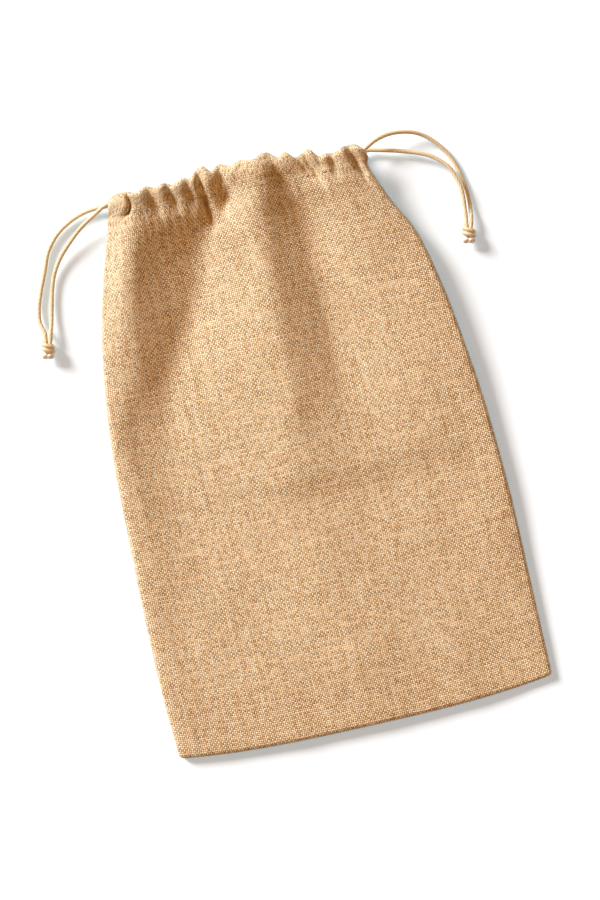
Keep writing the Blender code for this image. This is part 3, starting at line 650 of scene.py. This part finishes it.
def jute_finish():
    """Undyed jute in plain weave, worked out on the flat cloth.

    Each yarn is a half-round ridge, the root of 1 less the square of the share of its half
    width, that rises over one crossing yarn and dives under the next with a cosine.
    The higher of the two yarns shows. Its thickness swells and thins along its length, and its
    colour changes from yarn to yarn and along each one. Painted shade darkens each yarn down its
    sides and in the holes between yarns.
    """
    made = bpy.data.materials.new("jute_weave")
    made.use_nodes = True
    tree = made.node_tree
    shader = tree.nodes["Principled BSDF"]
    flat = put(tree, "UVMap", uv_map="cut").outputs[0]
    place = put(tree, "SeparateXYZ", {0: flat})
    drift = put(tree, "TexNoise", {"Vector": flat, "Scale": 55.0, "Detail": 2.5})
    drift = put(tree, "SeparateXYZ", {0: drift.outputs["Color"]})

    def count(length, pitch, wander):
        """How many yarns lie up to here, with the yarns' wander added."""
        plain = calc(tree, "MULTIPLY", length, 1 / pitch)
        return calc(tree, "MULTIPLY_ADD", calc(tree, "SUBTRACT", wander, 0.5), 1.6, plain)

    a = count(place.outputs[0], WARP_PITCH * METRES, drift.outputs[0])
    b = count(place.outputs[1], WEFT_PITCH * METRES, drift.outputs[1])
    number_a, number_b = calc(tree, "FLOOR", a), calc(tree, "FLOOR", b)
    off_a = calc(tree, "SUBTRACT", calc(tree, "FRACT", a), 0.5)
    off_b = calc(tree, "SUBTRACT", calc(tree, "FRACT", b), 0.5)
    odd = calc(tree, "FLOORED_MODULO", calc(tree, "ADD", number_a, number_b), 2.0)
    over = calc(tree, "MULTIPLY_ADD", odd, 2.0, -1.0)

    def yarn(number, along, off, off_other, sign, seed, lift):
        """Height of one set of yarns and their colour's share of the pale tint."""
        own = put(tree, "TexWhiteNoise", {1: calc(tree, "MULTIPLY_ADD", number, 0.731, seed)},
                  noise_dimensions="1D").outputs[0]
        spot = put(tree, "CombineXYZ", {0: calc(tree, "MULTIPLY_ADD", number, 7.31, seed),
                                        1: calc(tree, "MULTIPLY", along, 0.11)})
        slub = put(tree, "TexNoise", {"Vector": spot.outputs[0], "Scale": 1.0, "Detail": 2.0},
                   noise_dimensions="2D").outputs[0]
        width = put(tree, "MapRange", {0: calc(tree, "ADD", slub, calc(tree, "MULTIPLY", own, 0.35)),
                                       1: 0.3, 2: 1.0, 3: 0.29, 4: 0.46}).outputs[0]
        side = calc(tree, "DIVIDE", off, width)
        fall = calc(tree, "SUBTRACT", 1.0, calc(tree, "MULTIPLY", side, side))
        ridge = calc(tree, "SQRT", calc(tree, "MAXIMUM", fall, 0.0))
        wave = calc(tree, "MULTIPLY", sign, calc(tree, "COSINE", calc(tree, "MULTIPLY", off_other, math.pi)))
        height = calc(tree, "MULTIPLY_ADD", wave, 0.55, ridge)
        beyond = calc(tree, "LESS_THAN", ridge, 0.02)
        height = calc(tree, "MULTIPLY_ADD", beyond, -1.5, height)
        pale = calc(tree, "MULTIPLY_ADD", own, 0.10, calc(tree, "MULTIPLY_ADD", slub, 0.42, lift))
        return height, pale

    def fibre_noise(across, along):
        """Fine streaks that run along the yarns of one set."""
        stretched = put(tree, "Mapping", {0: flat, 3: (across, along, 1.0)}).outputs[0]
        return put(tree, "TexNoise", {"Vector": stretched, "Scale": 1.0, "Detail": 2.0}).outputs[0]

    high_a, pale_a = yarn(number_a, b, off_a, off_b, over, 3.1, 0.42)
    high_b, pale_b = yarn(number_b, a, off_b, off_a, calc(tree, "MULTIPLY", over, -1.0), 57.7, -0.02)
    a_shows = calc(tree, "GREATER_THAN", high_a, high_b)
    height = calc(tree, "MAXIMUM", calc(tree, "MAXIMUM", high_a, high_b), -0.5)
    pale = put(tree, "Mix", {0: a_shows, 2: pale_b, 3: pale_a}, data_type="FLOAT").outputs[0]
    fibre_a, fibre_b = fibre_noise(9000.0, 700.0), fibre_noise(700.0, 9000.0)
    fibre = put(tree, "Mix", {0: a_shows, 2: fibre_b, 3: fibre_a}, data_type="FLOAT").outputs[0]
    patch = put(tree, "TexNoise", {"Vector": flat, "Scale": 28.0, "Detail": 3.0}).outputs[0]
    crossing = put(tree, "CombineXYZ", {0: number_a, 1: number_b})
    crown = put(tree, "TexWhiteNoise", {"Vector": crossing.outputs[0]}, noise_dimensions="2D").outputs[0]
    patch = calc(tree, "MULTIPLY_ADD", patch, 0.12, -0.31)
    pale = calc(tree, "ADD", pale, calc(tree, "MULTIPLY_ADD", fibre, 0.5, patch))
    pale = calc(tree, "ADD", pale, calc(tree, "MULTIPLY_ADD", crown, 0.46, -0.23))
    tints = put(tree, "ValToRGB", {0: pale})
    tints.color_ramp.elements[0].position = 0.0
    tints.color_ramp.elements[0].color = (0.42, 0.255, 0.10, 1)
    tints.color_ramp.elements[1].position = 1.0
    tints.color_ramp.elements[1].color = (1.0, 0.97, 0.79, 1)
    tints.color_ramp.elements.new(0.5).color = (0.965, 0.765, 0.485, 1)
    # Painted shade: the colour sinks towards dark brown as the yarn surface sinks, down each yarn's sides and
    # into the holes between yarns.
    depth = put(tree, "MapRange", {0: height, 1: -0.35, 2: 1.0, 3: 0.0, 4: 1.0}).outputs[0]
    color = blend_colors(tree, depth, (0.10, 0.042, 0.012, 1), tints.outputs[0])
    relief = calc(tree, "MULTIPLY_ADD", fibre, 0.22, height)
    bump = put(tree, "Bump", {"Strength": 1.0, "Distance": 0.0004, "Height": relief})
    tree.links.new(color, shader.inputs["Base Color"])
    tree.links.new(bump.outputs[0], shader.inputs["Normal"])
    shader.inputs["Roughness"].default_value = 0.88
    shader.inputs["Specular IOR Level"].default_value = 0.25
    shader.inputs["Sheen Weight"].default_value = 0.12
    shader.inputs["Sheen Roughness"].default_value = 0.5
    shader.inputs["Sheen Tint"].default_value = (1.0, 0.82, 0.58, 1.0)
    return made


jute = jute_finish()
upper = np.concatenate([panel_rows(1), casing_rows(1)])
lower = np.concatenate([panel_rows(-1), casing_rows(-1)])
rows, columns = upper.shape[:2]
place_index = np.arange(rows * columns).reshape(rows, columns)
upper_index = place_index
lower_index = upper_index + rows * columns
# The two panels share the points of the bottom fold and, up to the stitches, of the side folds.
lower_index[0] = upper_index[0]
sewn_rows = FOLD_STEPS + FLAT_ROWS
lower_index[:sewn_rows, [0, -1]] = upper_index[:sewn_rows, [0, -1]]
corners = np.concatenate([quads(upper_index)[:, ::-1], quads(lower_index)])
places = np.concatenate([
    cut_places(upper, 1).reshape(-1, 2)[quads(place_index)[:, ::-1]],
    cut_places(lower, -1).reshape(-1, 2)[quads(place_index)],
])
used, corners = np.unique(corners, return_inverse=True)
points = np.concatenate([upper.reshape(-1, 3), lower.reshape(-1, 3)])[used]
sack = add_piece("sack", points, corners.reshape(-1, 4).tolist(), places.reshape(-1, 2), jute, "jute")
thickness = sack.modifiers.new("thickness", "SOLIDIFY")
thickness.thickness = CLOTH * METRES
thickness.offset = 0
thickness.use_even_offset = True
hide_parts("sack_cloth")
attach(sack, "root")


# ---------------------------------------------------------------- casing stitches
# One row of jute thread, 0.7 mm thick, sews each casing's edge down. The stitches are 3.2 mm
# long and half sunk in the weave, so that they only show as a faint dotted line.
THREAD = 0.7
STITCH_LENGTH = 3.2
STITCH_PITCH = 4.6
STITCH_MARGIN = 3.0  # from the side folds to the first and last stitch
STITCH_POINTS = 6


def stitch_row(side):
    """Short bent tubes along the stitch line: each dives into the cloth at both its ends."""
    start = table_curve(STITCH, LEFT_SIDE) + MOUTH_RADIUS + STITCH_MARGIN
    last = table_curve(STITCH, RIGHT_SIDE) - MOUTH_RADIUS - STITCH_MARGIN
    stitches = []
    for left in np.arange(start, last - STITCH_LENGTH, STITCH_PITCH):
        x = np.linspace(left, left + STITCH_LENGTH, STITCH_POINTS)
        y = stitch_height(x) - 0.6
        surface = upper_cloth(x, y) + CLOTH / 2 if side > 0 else lower_cloth(x, y) - CLOTH / 2
        arch = THREAD * (np.sin(np.linspace(0, math.pi, STITCH_POINTS)) - 0.55)
        line = np.stack([x, y, surface + side * arch], axis=-1)
        stitches.append(tube(line, np.full((STITCH_POINTS, 6), THREAD / 2), (0, 1, 0)))
    return join(stitches)


thread = add_piece("casing_stitches", *join([stitch_row(1), stitch_row(-1)]), jute, "jute")
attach(thread, "root")


# ---------------------------------------------------------------- surface and light
# A wide white surface under one soft window-like light from the upper left. A broad warm
# light from above stands for the light that the cloth's folds throw on each other.
def floor_finish():
    """Matt white that keeps its shadows pale."""
    made = bpy.data.materials.new("white_surface")
    made.use_nodes = True
    shader = made.node_tree.nodes["Principled BSDF"]
    shader.inputs["Base Color"].default_value = (0.9, 0.9, 0.9, 1)
    shader.inputs["Roughness"].default_value = 0.9
    shader.inputs["Specular IOR Level"].default_value = 0.0
    shader.inputs["Emission Color"].default_value = (0.24, 0.72, 1.0, 1)
    shader.inputs["Emission Strength"].default_value = 0.37
    return made


reach = 40.0
below = -0.0003  # just under the cloth
surface = bpy.data.meshes.new("surface")
surface.from_pydata(
    [(-reach, -reach, below), (reach, -reach, below), (reach, reach, below), (-reach, reach, below)],
    [], [(0, 1, 2, 3)],
)
surface.materials.append(floor_finish())
floor = bpy.data.objects.new("surface", surface)
bpy.context.scene.collection.objects.link(floor)


def add_sun(name, toward, elevation, strength, color, softness):
    """A distant light that comes from a horizontal direction, at an elevation in degrees."""
    data = bpy.data.lights.new(name, "SUN")
    data.energy = strength
    data.color = color
    data.angle = math.radians(softness)
    made = bpy.data.objects.new(name, data)
    azimuth = math.atan2(toward[1], toward[0])
    made.rotation_euler = (0.0, math.radians(90 - elevation), azimuth)
    bpy.context.scene.collection.objects.link(made)


add_sun("window_light", (-0.65, 0.76), 26, 5.1, (0.99, 0.99, 1.0), 20)
add_sun("folds_light", (0.4, -0.6), 80, 1.2, (1.0, 0.42, 0.07), 100)
world = bpy.data.worlds.new("pale_room")
bpy.context.scene.world = world
world.use_nodes = True
world.node_tree.nodes["Background"].inputs[0].default_value = (1.0, 1.0, 1.0, 1)
world.node_tree.nodes["Background"].inputs[1].default_value = 0.05
bpy.context.scene.view_settings.view_transform = "Standard"
